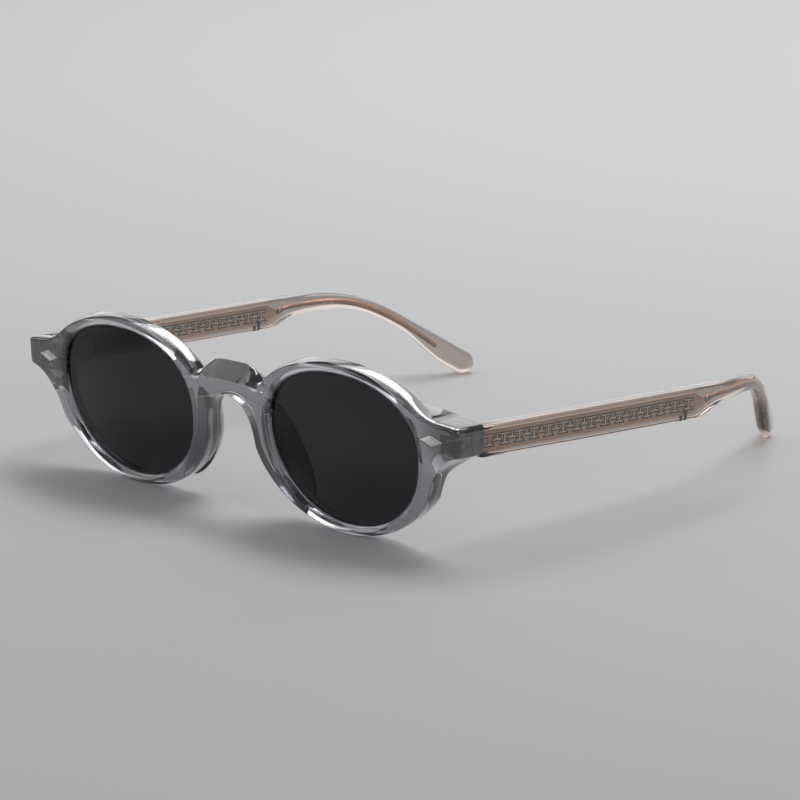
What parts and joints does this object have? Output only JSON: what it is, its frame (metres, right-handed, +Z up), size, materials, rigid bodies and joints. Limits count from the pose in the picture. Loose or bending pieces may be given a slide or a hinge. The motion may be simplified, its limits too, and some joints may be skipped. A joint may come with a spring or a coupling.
{
  "type": "sunglasses",
  "caption": "Round clear acetate sunglasses with dark lenses, diamond rivets and folding temples over a patterned metal core.",
  "frame": {"origin": "middle of the object's box, on the surface that the glasses stand on with the temples open", "axes": "+Z up, the front faces -Y, the temples run back along +Y, +X is the wearer's left"},
  "size_m": [0.1444, 0.1448, 0.042],
  "materials": {
    "front_acetate": "polished, clear with a light smoky grey tint",
    "lens_tint": "polished, near black neutral tint",
    "pad_acetate": "polished, clear with a light smoky grey tint",
    "temple_acetate": "polished, clear with a tea brown tint",
    "rivet_metal": "polished, faceted",
    "hinge_metal": "satin, plated",
    "screw_metal": "turned",
    "core_metal": "embossed, rose gold plated",
    "wire_metal": "drawn, copper coloured"
  },
  "bodies": {
    "front": {"front_frame": "front_acetate", "lens_left": "lens_tint", "lens_right": "lens_tint", "nose_pad_left": "pad_acetate", "nose_pad_right": "pad_acetate", "diamond_rivet_left": "rivet_metal", "diamond_rivet_right": "rivet_metal", "front_hinge_leaf_left": "hinge_metal", "front_hinge_leaf_right": "hinge_metal", "hinge_screw_left": "screw_metal", "hinge_screw_right": "screw_metal"},
    "temple_left_body": {"temple_left": "temple_acetate", "temple_hinge_leaf_left": "hinge_metal", "core_plate_left": "core_metal", "core_wire_left": "wire_metal"},
    "temple_right_body": {"temple_right": "temple_acetate", "temple_hinge_leaf_right": "hinge_metal", "core_plate_right": "core_metal", "core_wire_right": "wire_metal"}
  },
  "joints": [
    {"name": "temple_left_hinge", "type": "hinge", "parent": "front", "child": "temple_left_body", "pos_m": [0.06365, -0.05774, 0.02615], "axis": [0, 0.0576, 0.9983], "range_deg": [0, 86]},
    {"name": "temple_right_hinge", "type": "hinge", "parent": "front", "child": "temple_right_body", "pos_m": [-0.06365, -0.05774, 0.02615], "axis": [0, -0.0576, -0.9983], "range_deg": [0, 72]}
  ]
}
